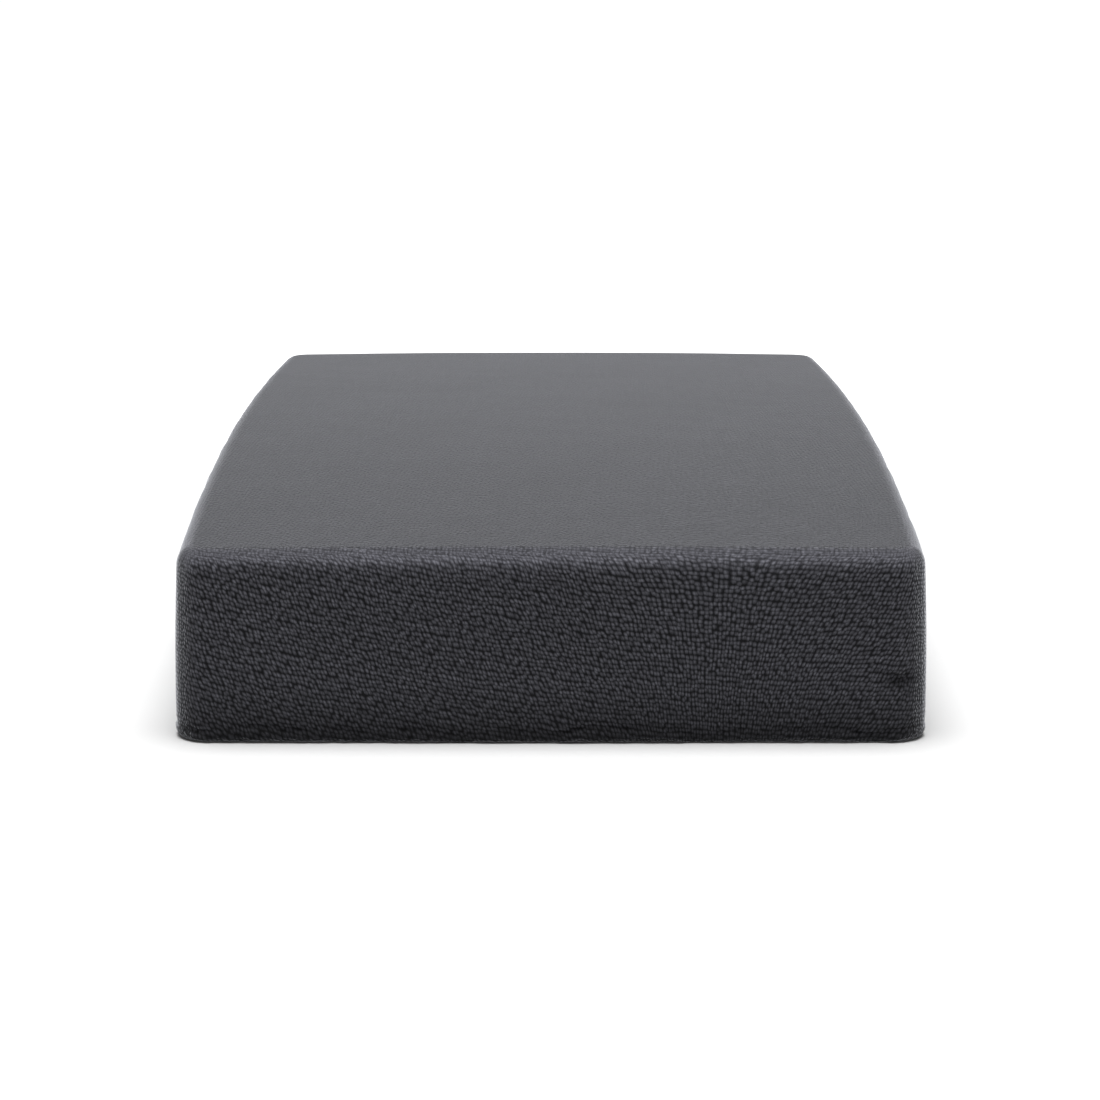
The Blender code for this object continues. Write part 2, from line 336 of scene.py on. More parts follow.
# Rounded: first in plan, then over the top and the low edges.
dx, dy = across + UPRIGHT_EDGE, along + UPRIGHT_EDGE
in_corner = (dx > 0) & (dy > 0)
reach = np.maximum(dx, dy)
radial = np.maximum(np.hypot(dx, dy), 1e-9)
out_x = np.where(in_corner, dx / radial, (dx >= dy) * 1.0)
out_y = np.where(in_corner, dy / radial, (dx < dy) * 1.0)
squeeze = np.where(in_corner, reach / radial, 1.0)
plan_x = half_x - UPRIGHT_EDGE + dx * squeeze
plan_y = half_y - UPRIGHT_EDGE + dy * squeeze
inward = UPRIGHT_EDGE - reach
height = END_HEIGHT - drop


def rounded(inward, depth, radius):
    """Where a point near a sharp edge goes when the edge is rounded, as its distance in and down."""
    a, b = radius - inward, radius - depth
    close = (a > 0) & (b > 0)
    scale = np.where(close, radius / np.maximum(np.hypot(a, b), 1e-9), 1.0)
    return (np.where(close, radius - a * scale, inward), np.where(close, radius - b * scale, depth))


top_in, top_depth = rounded(inward, drop, TOP_EDGE)
low_in, low_height = rounded(inward, height, LOW_EDGE)
is_high = height > END_HEIGHT / 2
new_in = np.where(is_high, top_in, low_in)
z = np.where(is_high, END_HEIGHT - top_depth, low_height)
x = sign_x * (plan_x + out_x * (inward - new_in))
y = sign_y * (plan_y + out_y * (inward - new_in))

# Stuffed: crowned on top, bulging at the sides, a little wider at the floor. The zip's place stays flat.
ux, uy, w = x / half_x, y / half_y, z / END_HEIGHT
bulge = SIDE_BULGE * (1 - np.abs(uy) ** BULGE_POWER)
bulge = bulge + WALL_BULGE * (1 - (2 * w - 1) ** 2) + FLARE * (1 - w) ** 2
x = x + ux * bulge
over_zip = np.where(y > 0, np.clip((w - 0.35) * 3, 0, 1), 1.0)
y = y + uy * END_BULGE * (1 - ux ** 2) * over_zip
z = z + w * (CROWN_ALONG * (1 - np.abs(uy) ** BULGE_POWER) + CROWN_ACROSS * (1 - ux ** 2))
move(cover.data, np.stack([x, y, z], axis=1))

# Where each point is in the rows of tufts, counted in tufts. The fabric lies a little askew and unevenly
# stretched, and on the ends the tufts are brushed to one side, less and less across and then the other way.
pulled = [waves(flat[:, :2], (0.05, 0.11, 0.21), seed) for seed in (1, 2)]
askew = flat[:, :2] + STRETCH * np.stack(pulled, axis=1)
tuft_x = (askew[:, 0] - COLUMN_SLOPE * np.clip(flat[:, 1] + half_y, -END_HEIGHT, END_HEIGHT)) / TUFT_PITCH
tuft_y = (askew[:, 1] - skew(flat[:, 0])) / ROW_PITCH
down_end = np.where(on_side, 0.0, drop) * sign_y + END_HEIGHT * (0.5 - fade(flat[:, 1], -half_y, half_y))
tuft_x += BRUSHED * (1 - 2 * fade(x, *BRUSH_TURN)) * down_end / ROW_PITCH
grain = np.stack([tuft_x, tuft_y, 0 * tuft_x], axis=1).astype(np.float32)
by_corner = cover.data.attributes.new("grain", "FLOAT_VECTOR", "CORNER")
by_corner.data.foreach_set("vector", grain[corner_points(cover.data)].ravel())
mark(cover.data, "turned_in", turned_in)

# Sewn: the flaps' edges are joined down the upright corners and across the hem.
bpy.context.tool_settings.mesh_select_mode = (True, False, False)
cover.data.vertices.foreach_set("select", (np.abs(x) > 0.8 * half_x) & (np.abs(y) > 0.9 * half_y))
bpy.ops.object.mode_set(mode="EDIT")
bpy.ops.mesh.remove_doubles(threshold=CELL_X / 3)
bpy.ops.mesh.select_all(action="DESELECT")
bpy.ops.object.mode_set(mode="OBJECT")
point = coords(cover.data)
x, y, z = point.T
turned_in = marked(cover.data, "turned_in") > 0.5


def normals(mesh):
    """The mesh's normals at its points, as an array."""
    found = np.empty(len(mesh.vertices) * 3, np.float32)
    mesh.vertex_normals.foreach_get("vector", found)
    return found.reshape(-1, 3).astype(float)


normal = normals(cover.data)
flat_across = 1 - fade(np.abs(x) - SLOT_HALF[0], *FLAT_PAST)
at_zip = (y > 0.9 * half_y) * flat_across * (1 - fade(z - ZIP_AT, *FLAT_OVER))

# Creased: a gathered band where the fabric turns under, a dimple and a few creases at the lower right of
# the plain end, and slow undulations all over.
band = BAND_AT + BAND_WANDER * waves(point[:, :2], (0.11, 0.23), 3)
deep = 0.55 + 0.45 * waves(point[:, :2], (0.07, 0.16), 4)
sunk = GROOVE * deep * (near(z, band, 0.0040) - 0.4 * near(z, band - 0.010, 0.005))
slant = np.stack([x + 0.8 * z, y + 0.8 * z, 0.35 * z], axis=1)
gathers = waves(slant, (0.016, 0.024, 0.037), 5) * (1 - fade(z, 0.014, 0.030)) * fade(z, 0.001, 0.006)
sunk += GATHER * gathers
on_end = y < -0.9 * half_y
dimple = on_end * near(x, DIMPLE[0], DIMPLE_HALF[0]) * near(z, DIMPLE[1], DIMPLE_HALF[1])
creases = on_end * (sum(crease(x, z, *line) for line in LEVEL_CREASES) + crease(z, x, *UPRIGHT_CREASE))
sunk += DIMPLE_DEPTH * dimple + CREASE_DEPTH * creases
level = np.abs(normal[:, 2])
wall = 1 - fade(level, 0.35, 0.85)
sunk += UNDULATION * waves(point, (0.10, 0.17, 0.33), 6) * (0.3 + 0.7 * wall)
at_corner = fade(np.abs(x), half_x - 0.025, half_x) * fade(np.abs(y), half_y - 0.06, half_y - 0.03)
sunk *= (1 - at_zip) * (1 - 0.8 * at_corner)
sunk[turned_in] = SLOT_TURNED_IN
point = point - normal * sunk[:, None]
point[:, 2] = np.maximum(point[:, 2], 0.0002)    # just clear of the floor
move(cover.data, point)
cover.data.shade_smooth()

# Tone: a little uneven all over, at random. Over that, painted light: painted shade towards the floor, under
# the groove, in the dimple and its creases, on the top near the plain end and down the upright corners, and a
# painted highlight where the pile bends over the top edge and a little at the far end of the top.
# The band where the pile bends over the top edge, which gets a painted highlight.
ragged = z + 0.005 * waves(point[:, :2], (0.012, 0.023, 0.06), 10)
edge = near(ragged, END_HEIGHT - 0.005, 0.015) * (1 - fade(level, 0.95, 1.0))
tone_and_painted_light = 1 + 0.08 * waves(point, (0.017, 0.026), 8) + 0.05 * waves(point, (0.15, 0.4), 9)
# Painted shade towards the floor and under the groove.
tone_and_painted_light *= (0.50 + 0.38 * fade(z, 0.004, 0.090)) * (0.66 + 0.34 * fade(z, band - 0.003, band + 0.004))
# Painted shade in the dimple and its creases.
tone_and_painted_light *= 1 - 0.62 * dimple - 0.4 * np.clip(creases, 0, 1) * (1 - dimple)
# Painted shade on the top near the plain end, turning to a little painted highlight at the far end.
tone_and_painted_light *= 1 - (1 - wall) * (0.30 - 0.36 * fade(y, -half_y, half_y))
# Painted shade down the upright corners.
tone_and_painted_light *= 1 - 0.50 * at_corner
# Painted highlight over the top edge.
tone_and_painted_light *= 1 + edge
# The random tone, with the painted shade and highlight, goes to the pile's colour.
mark(cover.data, "tone_and_painted_light", tone_and_painted_light)

# How strongly the gaps between tufts show, in painted shade and in bump: less on the top, on its bent edge and
# where pile meets at a corner.
shown = 0.85 + 0.15 * wall - 0.45 * np.maximum(edge, near(level, 0.75, 0.20)) - 0.50 * at_corner
mark(cover.data, "upright", np.maximum(shown, 0.2))

# Cut polyester pile: matt, with painted shade in the gaps between slanted tufts, fine fibres, and a sheen
# along the surface where the light catches the fibre ends. Seen from along the top, the tufts hide the gaps,
# so less shade is painted there.
pile = new_material("cut_polyester_pile")
rows_of = node(pile, "ShaderNodeAttribute", attribute_name="grain")
tuft_tone_and_painted_light = node(pile, "ShaderNodeAttribute", attribute_name="tone_and_painted_light")
upright = node(pile, "ShaderNodeAttribute", attribute_name="upright")
tuft = node(
    pile, "ShaderNodeTexVoronoi", [("Vector", rows_of, "Vector")], voronoi_dimensions="2D", in_Scale=1.0,
    in_Randomness=0.45,
)
gap = node(
    pile, "ShaderNodeMapRange", [("Value", tuft, "Distance")], interpolation_type="SMOOTHSTEP",
    in_From_Min=0.05, in_From_Max=0.68, in_To_Min=1.0, in_To_Max=0.0,
)
strands = node(pile, "ShaderNodeMapping", [("Vector", rows_of, "Vector")])
strands.inputs["Scale"].default_value = (TUFT_PITCH / LOCK[0], ROW_PITCH / LOCK[1], 1.0)
streak = node(pile, "ShaderNodeTexNoise", [("Vector", strands, "Vector")], in_Scale=1.0, in_Detail=2.0)
streak_tone = node(
    pile, "ShaderNodeMapRange", [("Value", streak, "Fac")], in_From_Min=0.3, in_From_Max=0.7, in_To_Min=0.50,
    in_To_Max=1.50,
)
pairs = node(
    pile, "ShaderNodeTexWave", [("Vector", rows_of, "Vector")], bands_direction="Y", in_Scale=WAVE_TURN / 2,
)
pair_tone = node(pile, "ShaderNodeMapRange", [("Value", pairs, "Fac")], in_To_Min=0.86, in_To_Max=1.14)
seen = node(
    pile, "ShaderNodeMapRange", [("Value", upright, "Fac"), ("To Max", gap, "Result")], in_To_Min=0.62,
)
# The ramp runs from painted shade deep in the gaps to the tufts' own colour.
ramp = node(pile, "ShaderNodeValToRGB", [("Fac", seen, "Result")])
ramp.color_ramp.elements[0].color = linear("#101013")
ramp.color_ramp.elements[1].color = linear("#525258")
# The colour is scaled by the stored tone, which carries painted shade and highlight as well as random tone.
both = node(pile, "ShaderNodeMath", [(0, streak_tone, "Result"), (1, tuft_tone_and_painted_light, "Fac")], operation="MULTIPLY")
three = node(pile, "ShaderNodeMath", [(0, both, "Value"), (1, pair_tone, "Result")], operation="MULTIPLY")
colour_with_painted_light = node(
    pile, "ShaderNodeVectorMath", [("Vector", ramp, "Color"), ("Scale", three, "Value")], operation="SCALE",
)
strand_bump = node(pile, "ShaderNodeBump", [("Height", streak, "Fac")], in_Strength=0.5, in_Distance=0.0008)
bump = node(
    pile, "ShaderNodeBump", [("Height", seen, "Result"), ("Normal", strand_bump, "Normal")], in_Strength=0.6,
    in_Distance=0.0020,
)
shader = node(
    pile, "ShaderNodeBsdfPrincipled", [("Base Color", colour_with_painted_light, "Vector"), ("Normal", bump, "Normal")],
    in_Roughness=0.95, in_Sheen_Weight=1.0, in_Sheen_Roughness=0.32, in_Sheen_Tint=linear("#e4e6ec"),
    in_Specular_IOR_Level=0.2,
)
cover.data.materials.append(finish_material(pile, shader))
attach(cover, "mattress")
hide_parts("cover_shell")


# ---- Base panel --------------------------------------------------------------------------------------
# Plain woven polyester under the mattress, sewn on the inside of the pile fabric's hem. It is pulled taut
# over the flat underside and doesn't show from above.

BASE_INSET = 0.018               # from the mattress's edge to the panel's own edge
BASE_AT = 0.0008                 # height of the cloth off the floor
BASE_RISE = 0.0016               # where its margin lies on the hem
BASE_THICKNESS = 0.0006
BASE_SLACK = 0.0002              # depth of its slow waves
BASE_CELL = 0.012


def rounded_plan(x, y, half_width, half_length, radius):
    """Draws in the corners of a rectangle, so that they are round."""
    dx, dy = np.abs(x) - half_width + radius, np.abs(y) - half_length + radius
    squeeze = np.where((dx > 0) & (dy > 0), np.maximum(dx, dy) / np.maximum(np.hypot(dx, dy), 1e-9), 1.0)
    new_x, new_y = half_width - radius + dx * squeeze, half_length - radius + dy * squeeze
    return np.sign(x) * new_x, np.sign(y) * new_y


def taut_sheet(name, width, length, radius, cell):
    """A flat rectangle of cloth with rounded corners, bulging at its sides as the mattress does."""
    deselect()
    across, along = int(width / cell), int(length / cell)
    bpy.ops.mesh.primitive_grid_add(x_subdivisions=across, y_subdivisions=along, size=1)
    made = bpy.context.object
    made.name = made.data.name = name
    place = coords(made.data) * (width, length, 1)
    place[:, 0], place[:, 1] = rounded_plan(place[:, 0], place[:, 1], width / 2, length / 2, radius)
    place[:, 0] *= 1 + SIDE_BULGE * (1 - np.abs(place[:, 1] / half_y) ** BULGE_POWER) / half_x
    move(made.data, place)
    return made


def apply_modifiers(obj):
    """Applies the object's modifiers, in order."""
    bpy.context.view_layer.objects.active = obj
    for name in [modifier.name for modifier in obj.modifiers]:
        bpy.ops.object.modifier_apply(modifier=name)


def thicken(obj, thickness, side=0.0):
    """Gives a sheet its thickness: on both sides, or on the side it faces with 1."""
    wall = obj.modifiers.new("thickness", "SOLIDIFY")
    wall.thickness = thickness
    wall.offset = side
    apply_modifiers(obj)


def woven(name, hollow, thread, spacing, roughness, ribs=1.0):
    """Plain weave of threads that cross, ribs times as close one way. Too fine ones are drawn coarser."""
    cloth = new_material(name)
    place = node(cloth, "ShaderNodeTexCoord")
    warp, weft = (
        node(
            cloth, "ShaderNodeTexWave", [("Vector", place, "Object")], bands_direction=way,
            in_Scale=WAVE_TURN / spacing * close, in_Distortion=0.6, in_Detail=1.0,
        )
        for way, close in (("X", 1.0), ("DIAGONAL", ribs))
    )
    cross = node(cloth, "ShaderNodeMath", [(0, warp, "Fac"), (1, weft, "Fac")], operation="MULTIPLY")
    slub = node(cloth, "ShaderNodeTexNoise", [("Vector", place, "Object")], in_Scale=1 / 0.02, in_Detail=3.0)
    uneven = node(cloth, "ShaderNodeMath", [(0, cross, "Value"), (1, slub, "Fac")], operation="ADD")
    ramp = node(cloth, "ShaderNodeValToRGB", [("Fac", uneven, "Value")])
    ramp.color_ramp.elements[0].color = linear(hollow)
    ramp.color_ramp.elements[0].position = 0.35
    ramp.color_ramp.elements[1].color = linear(thread)
    ramp.color_ramp.elements[1].position = 0.8333
    bump = node(
        cloth, "ShaderNodeBump", [("Height", cross, "Value")], in_Strength=0.6, in_Distance=spacing / 3,
    )
    shader = node(
        cloth, "ShaderNodeBsdfPrincipled", [("Base Color", ramp, "Color"), ("Normal", bump, "Normal")],
        in_Roughness=roughness, in_Sheen_Weight=0.3, in_Specular_IOR_Level=0.3,
    )
    return finish_material(cloth, shader)


base = taut_sheet("base_panel", END_WIDTH - 2 * BASE_INSET, LENGTH - 2 * BASE_INSET, UPRIGHT_EDGE, BASE_CELL)
place = coords(base.data)
edge_gap = np.minimum(half_x - BASE_INSET - np.abs(place[:, 0]), half_y - BASE_INSET - np.abs(place[:, 1]))
place[:, 2] = BASE_AT + BASE_RISE * (1 - fade(edge_gap, 0.004, 0.016))
place[:, 2] += BASE_SLACK * waves(place[:, :2], (0.08, 0.3), 11)
move(base.data, place)
thicken(base, BASE_THICKNESS, 1.0)
base.data.materials.append(woven("plain_woven_polyester", "#141416", "#3a3a3e", 0.0016, 0.85))
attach(base, "mattress")
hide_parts("cover_base_panel")


# ---- Zip tapes ---------------------------------------------------------------------------------------
# Two woven polyester tapes behind the slot in the far end, each sewn to the cover by one row of lock
# stitches. Their inner edges carry the coils.

TAPE_CELLS = (430, 8)
TAPE_SHARE = 0.7                 # of the CAD tape's thickness
TAPE_SLACK = 0.00012             # depth of its ripples
ribbed_tape = woven("woven_polyester_tape", "#0c0c0e", "#333338", 0.0009, 0.75, ribs=1.6)
for side in ("upper", "lower"):
    low, high = map(np.array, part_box("zip_tape_" + side))
    middle, size = (low + high) / 2, high - low
    deselect()
    bpy.ops.mesh.primitive_grid_add(x_subdivisions=TAPE_CELLS[0], y_subdivisions=TAPE_CELLS[1], size=1)
    tape = bpy.context.object
    tape.name = tape.data.name = "zip_tape_cloth_" + side
    place = coords(tape.data)
    along, over = place[:, 0] * size[0], place[:, 1] * size[2]
    dip = TAPE_SLACK * waves(np.stack([along, over], axis=1), (0.012, 0.05), 12)
    move(tape.data, np.stack([middle[0] - along, middle[1] + dip, middle[2] + over], axis=1))
    thicken(tape, size[1] * TAPE_SHARE)
    tape.data.materials.append(ribbed_tape)
    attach(tape, "mattress")
    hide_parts("zip_tape_" + side)

STITCH_PITCH = 0.0032
STITCH_LENGTH = 0.0026
THREAD = 0.0005                  # thickness of the sewing thread
STITCH_ROW = 0.0054              # from the zip's centre line
tape_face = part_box("zip_tape_upper")[1][1]
thread = new_material("spun_polyester_thread")
place = node(thread, "ShaderNodeTexCoord")
twist = node(
    thread, "ShaderNodeTexWave", [("Vector", place, "Object")], bands_direction="DIAGONAL",
    in_Scale=WAVE_TURN / THREAD,
)
ply = node(thread, "ShaderNodeValToRGB", [("Fac", twist, "Fac")])
ply.color_ramp.elements[0].color = linear("#18181a")
ply.color_ramp.elements[1].color = linear("#4a4a50")
shader = node(thread, "ShaderNodeBsdfPrincipled", [("Base Color", ply, "Color")], in_Roughness=0.6)
finish_material(thread, shader)
for side, way in (("upper", 1), ("lower", -1)):
    deselect()
    bpy.ops.mesh.primitive_uv_sphere_add(segments=6, ring_count=4, radius=1, rotation=(0, pi / 2, 0))
    stitch = bpy.context.object
    stitch.name = stitch.data.name = "zip_stitches_" + side
    bpy.ops.object.transform_apply(rotation=True)
    copies = int(2 * SLOT_HALF[0] / STITCH_PITCH)
    place = coords(stitch.data) * (STITCH_LENGTH / 2, THREAD / 2, THREAD / 2)
    move(stitch.data, place + (-copies * STITCH_PITCH / 2, tape_face + THREAD / 4, ZIP_AT + way * STITCH_ROW))
    row_of = stitch.modifiers.new("row", "ARRAY")
    row_of.count = copies
    row_of.use_relative_offset = False
    row_of.use_constant_offset = True
    row_of.constant_offset_displace = (STITCH_PITCH, 0, 0)
    apply_modifiers(stitch)
    stitch.data.materials.append(thread)
    stitch.data.shade_smooth()
    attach(stitch, "mattress")


# ---- Zip coils ---------------------------------------------------------------------------------------
# Nylon monofilament wound into a flat spiral along each tape. The turns of one coil hook between the turns
# of the other along the middle.

TURN_PITCH = 0.0014
WIRE = 0.00032                   # radius of the monofilament
RING_WIRE = 0.3                  # the same on the ring, of radius 1, that a turn is scaled from
HEAD_GAP = 0.0002                # from the zip's centre line to a coil's nearest point
monofilament = new_material("nylon_monofilament")
place = node(monofilament, "ShaderNodeTexCoord")
drawn = node(
    monofilament, "ShaderNodeTexNoise", [("Vector", place, "Object")], in_Scale=1 / 0.0012, in_Detail=2.0,
)
dark = node(monofilament, "ShaderNodeValToRGB", [("Fac", drawn, "Fac")])
dark.color_ramp.elements[0].color = linear("#121214")
dark.color_ramp.elements[1].color = linear("#2c2c31")
gloss = node(monofilament, "ShaderNodeMapRange", [("Value", drawn, "Fac")], in_To_Min=0.28, in_To_Max=0.46)
shader = node(
    monofilament, "ShaderNodeBsdfPrincipled", [("Base Color", dark, "Color"), ("Roughness", gloss, "Result")],
    in_IOR=1.53,
)
finish_material(monofilament, shader)
for side, way in (("upper", 1), ("lower", -1)):
    low, high = map(np.array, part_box("zip_coil_" + side))
    middle, size = (low + high) / 2, high - low
    deselect()
    bpy.ops.mesh.primitive_torus_add(
        major_radius=1.0, minor_radius=RING_WIRE, major_segments=10, minor_segments=5, rotation=(0, pi / 2, 0)
    )
    turn = bpy.context.object
    turn.name = turn.data.name = "zip_coil_turns_" + side
    bpy.ops.object.transform_apply(rotation=True)
    ring = coords(turn.data) / (RING_WIRE, 1 + RING_WIRE, 1 + RING_WIRE)
    head = ZIP_AT + way * HEAD_GAP
    heel = middle[2] + way * size[2] / 2
    place = np.stack([
        ring[:, 0] * WIRE + ring[:, 2] * way * TURN_PITCH / 4,
        ring[:, 1] * size[1] / 2,
        ring[:, 2] * abs(heel - head) / 2,
    ], axis=1)
    start = low[0] + TURN_PITCH * (0.5 if way > 0 else 1.0)
    move(turn.data, place + (start, middle[1], (head + heel) / 2))
    turns = turn.modifiers.new("turns", "ARRAY")
    turns.count = int(size[0] / TURN_PITCH) - 1
    turns.use_relative_offset = False
    turns.use_constant_offset = True
    turns.constant_offset_displace = (TURN_PITCH, 0, 0)
    apply_modifiers(turn)
    turn.data.materials.append(monofilament)
    turn.data.shade_smooth()
    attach(turn, "mattress")
    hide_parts("zip_coil_" + side)


# ---- Zip stops ---------------------------------------------------------------------------------------
# A block of nylon moulded over both coils at either end of the zip, with a shallow sunk face.

RIM = 0.0008                     # left round a sunk face
STOP_SINK = 0.00035
STOP_ROUND = 0.0003
stop_nylon = new_material("moulded_nylon")
place = node(stop_nylon, "ShaderNodeTexCoord")
grain = node(
    stop_nylon, "ShaderNodeTexNoise", [("Vector", place, "Object")], in_Scale=1 / 0.0007, in_Detail=3.0,
)
tint = node(stop_nylon, "ShaderNodeValToRGB", [("Fac", grain, "Fac")])
tint.color_ramp.elements[0].color = linear("#161618")
tint.color_ramp.elements[1].color = linear("#29292d")
relief = node(stop_nylon, "ShaderNodeBump", [("Height", grain, "Fac")], in_Strength=0.25, in_Distance=0.0001)
shader = node(
    stop_nylon, "ShaderNodeBsdfPrincipled", [("Base Color", tint, "Color"), ("Normal", relief, "Normal")],
    in_Roughness=0.45, in_IOR=1.53,
)
finish_material(stop_nylon, shader)


def select_faces(obj, wanted):
    """Selects the faces whose centre and normal pass the test, and goes into edit mode."""
    bpy.context.view_layer.objects.active = obj
    bpy.context.tool_settings.mesh_select_mode = (False, False, True)
    bpy.ops.object.mode_set(mode="EDIT")
    bpy.ops.mesh.select_all(action="DESELECT")
    bpy.ops.object.mode_set(mode="OBJECT")
    for face in obj.data.polygons:
        face.select = wanted(face.center, face.normal)
    bpy.ops.object.mode_set(mode="EDIT")


def block(name, low, high):
    """A box between two corners, with its place in its mesh."""
    deselect()
    bpy.ops.mesh.primitive_cube_add(size=1)
    made = bpy.context.object
    made.name = made.data.name = name
    low, high = np.array(low), np.array(high)
    move(made.data, coords(made.data) * (high - low) + (low + high) / 2)
    return made


def shade_smooth(obj):
    """Shades smooth, but for the edges that turn more than 40 degrees."""
    deselect()
    obj.select_set(True)
    bpy.context.view_layer.objects.active = obj
    bpy.ops.object.shade_smooth_by_angle(angle=0.7)


def soften(obj, width):
    """Rounds the sharp edges, and shades the rest smooth."""
    rounding = obj.modifiers.new("rounding", "BEVEL")
    rounding.width = width
    rounding.segments = 2
    rounding.limit_method = "ANGLE"
    rounding.angle_limit = 0.6
    apply_modifiers(obj)
    shade_smooth(obj)


def sink_face(obj, way, rim, depth):
    """Sinks the faces that look along way times y, all but a rim round them."""
    select_faces(obj, lambda centre, normal: normal.y * way > 0.9)
    bpy.ops.mesh.inset(thickness=rim)
    bpy.ops.mesh.extrude_region_move(TRANSFORM_OT_translate={"value": (0, -depth * way, 0)})
    bpy.ops.object.mode_set(mode="OBJECT")


for side in ("open_end", "closed_end"):
    low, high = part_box("zip_stop_" + side)
    stop = block("moulded_stop_" + side, low, high)
    sink_face(stop, 1, RIM, STOP_SINK)
    soften(stop, STOP_ROUND)
    stop.data.materials.append(stop_nylon)
    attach(stop, "mattress")
    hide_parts("zip_stop_" + side)


# ---- Zip slider --------------------------------------------------------------------------------------
# Die-cast zinc with a dark plated finish: two shield-shaped plates over and under the coils, joined by a
# neck, with a bowed loop for the pull. It slides along the zip.

zinc = new_material("dark_plated_zinc")
place = node(zinc, "ShaderNodeTexCoord")
cast = node(zinc, "ShaderNodeTexNoise", [("Vector", place, "Object")], in_Scale=1 / 0.0015, in_Detail=4.0)
plated = node(zinc, "ShaderNodeValToRGB", [("Fac", cast, "Fac")])
plated.color_ramp.elements[0].color = linear("#4a4a4e")
plated.color_ramp.elements[1].color = linear("#7b7b80")
worn = node(zinc, "ShaderNodeMapRange", [("Value", cast, "Fac")], in_To_Min=0.26, in_To_Max=0.48)
relief = node(zinc, "ShaderNodeBump", [("Height", cast, "Fac")], in_Strength=0.15, in_Distance=0.0001)
shader = node(
    zinc, "ShaderNodeBsdfPrincipled",
    [("Base Color", plated, "Color"), ("Roughness", worn, "Result"), ("Normal", relief, "Normal")],
    in_Metallic=1.0,
)
finish_material(zinc, shader)

low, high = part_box("zip_slider")
slider_x = (low[0] + high[0]) / 2
slider_half = (high[0] - low[0]) / 2
plate_half = (high[2] - low[2]) / 2
back_face = low[1]
FRONT_PLATE = (0.9508, 0.9522)   # the outer plate, from back to front
BACK_PLATE = 0.0014              # thickness of the plate behind the coils
PLATE_TAPER = 0.70               # of its width left at the closed side
PLATE_CORNER = 0.0024            # radius of the plates' corners
STEP_IN = 0.0004                 # of the back plate and the walls from the outer plate's edge
WALL = 0.0009                    # thickness of the walls and of the neck
WALL_DEPTH = 0.0021              # of the walls behind the outer plate
NECK = (0.0045, 0.0015)          # the neck's two ends, from the plates' open end
BITE = 0.0005                    # how deep a joined piece goes into the next
LOOP_RADIUS = 0.0040
LOOP_WIRE = 0.00045
LOOP_WIDTH = 2.0                 # how much wider than thick the loop's wire is
LOOP_SUNK = 0.0006               # how deep the loop goes into the outer plate
WALL_FROM = 0.0005               # the walls' two ends: from the slider's middle
WALL_SHORT = 0.0022              # and from the plates' open end
SLIDER_ROUND = 0.0002


def round_corners(obj, thickness, radius, segments, share):
    """Rounds a plate's corners, each by the share of the radius that its place across asks for."""
    weights = obj.data.attributes.new("bevel_weight_edge", "FLOAT", "EDGE")
    for edge in obj.data.edges:
        ends = [obj.data.vertices[i].co for i in edge.vertices]
        through = abs(ends[0].y - ends[1].y) > thickness / 2
        weights.data[edge.index].value = share(ends[0].x) * through
    corners = obj.modifiers.new("corners", "BEVEL")
    corners.width = radius
    corners.segments = segments
    corners.limit_method = "WEIGHT"
    apply_modifiers(obj)


def shield(name, back, front, half_width):
    """A plate that narrows towards the closed side of the zip, with rounded corners."""
    made = block(name, (slider_x - slider_half, back, ZIP_AT - half_width),
                 (slider_x + slider_half, front, ZIP_AT + half_width))
    place = coords(made.data)
    narrow = np.where(place[:, 0] < slider_x, PLATE_TAPER, 1.0)
    place[:, 2] = ZIP_AT + (place[:, 2] - ZIP_AT) * narrow
    move(made.data, place)
    round_corners(made, front - back, PLATE_CORNER, 5, lambda x: 1.0)
    return made


def join(pieces, name):
    """Makes the pieces one closed body."""
    whole = pieces[0]
    for piece in pieces[1:]:
        union = whole.modifiers.new("union", "BOOLEAN")
        union.operation = "UNION"
        union.object = piece
        apply_modifiers(whole)
        bpy.data.objects.remove(piece)
    whole.name = whole.data.name = name
    return whole


slider_pieces = [
    shield("slider_plate", FRONT_PLATE[0], FRONT_PLATE[1], plate_half),
    shield("slider_back", back_face, back_face + BACK_PLATE, plate_half - STEP_IN),
    block("slider_neck", (slider_x + slider_half - NECK[0], back_face + BACK_PLATE / 2, ZIP_AT - WALL / 2),
          (slider_x + slider_half - NECK[1], FRONT_PLATE[0] + BITE, ZIP_AT + WALL / 2)),
]
for way in (1, -1):
    edge_z = sorted(ZIP_AT + way * (plate_half - STEP_IN - inner) for inner in (0, WALL))
    slider_pieces.append(block(
        "slider_wall", (slider_x + WALL_FROM, FRONT_PLATE[0] - WALL_DEPTH, edge_z[0]),
        (slider_x + slider_half - WALL_SHORT, FRONT_PLATE[0] + 0.8 * BITE, edge_z[1]),
    ))
slider = join(slider_pieces, "slider_body")
soften(slider, SLIDER_ROUND)
deselect()
bpy.ops.mesh.primitive_torus_add(
    major_radius=LOOP_RADIUS, minor_radius=LOOP_WIRE, major_segments=32, minor_segments=12,
    location=(slider_x, high[1] - LOOP_RADIUS - LOOP_WIRE, ZIP_AT),
)
bpy.ops.transform.resize(value=(1, 1, LOOP_WIDTH), center_override=(slider_x, 0, ZIP_AT))
bpy.ops.object.transform_apply(location=True, scale=True)
bpy.ops.object.mode_set(mode="EDIT")
bpy.ops.mesh.select_all(action="SELECT")
bpy.ops.mesh.bisect(
    plane_co=(slider_x, FRONT_PLATE[1] - LOOP_SUNK, ZIP_AT), plane_no=(0, 1, 0), use_fill=True,
    clear_inner=True,
)
bpy.ops.object.mode_set(mode="OBJECT")
bpy.ops.object.shade_smooth()
slider.select_set(True)
bpy.context.view_layer.objects.active = slider
bpy.ops.object.join()
slider.data.materials.clear()
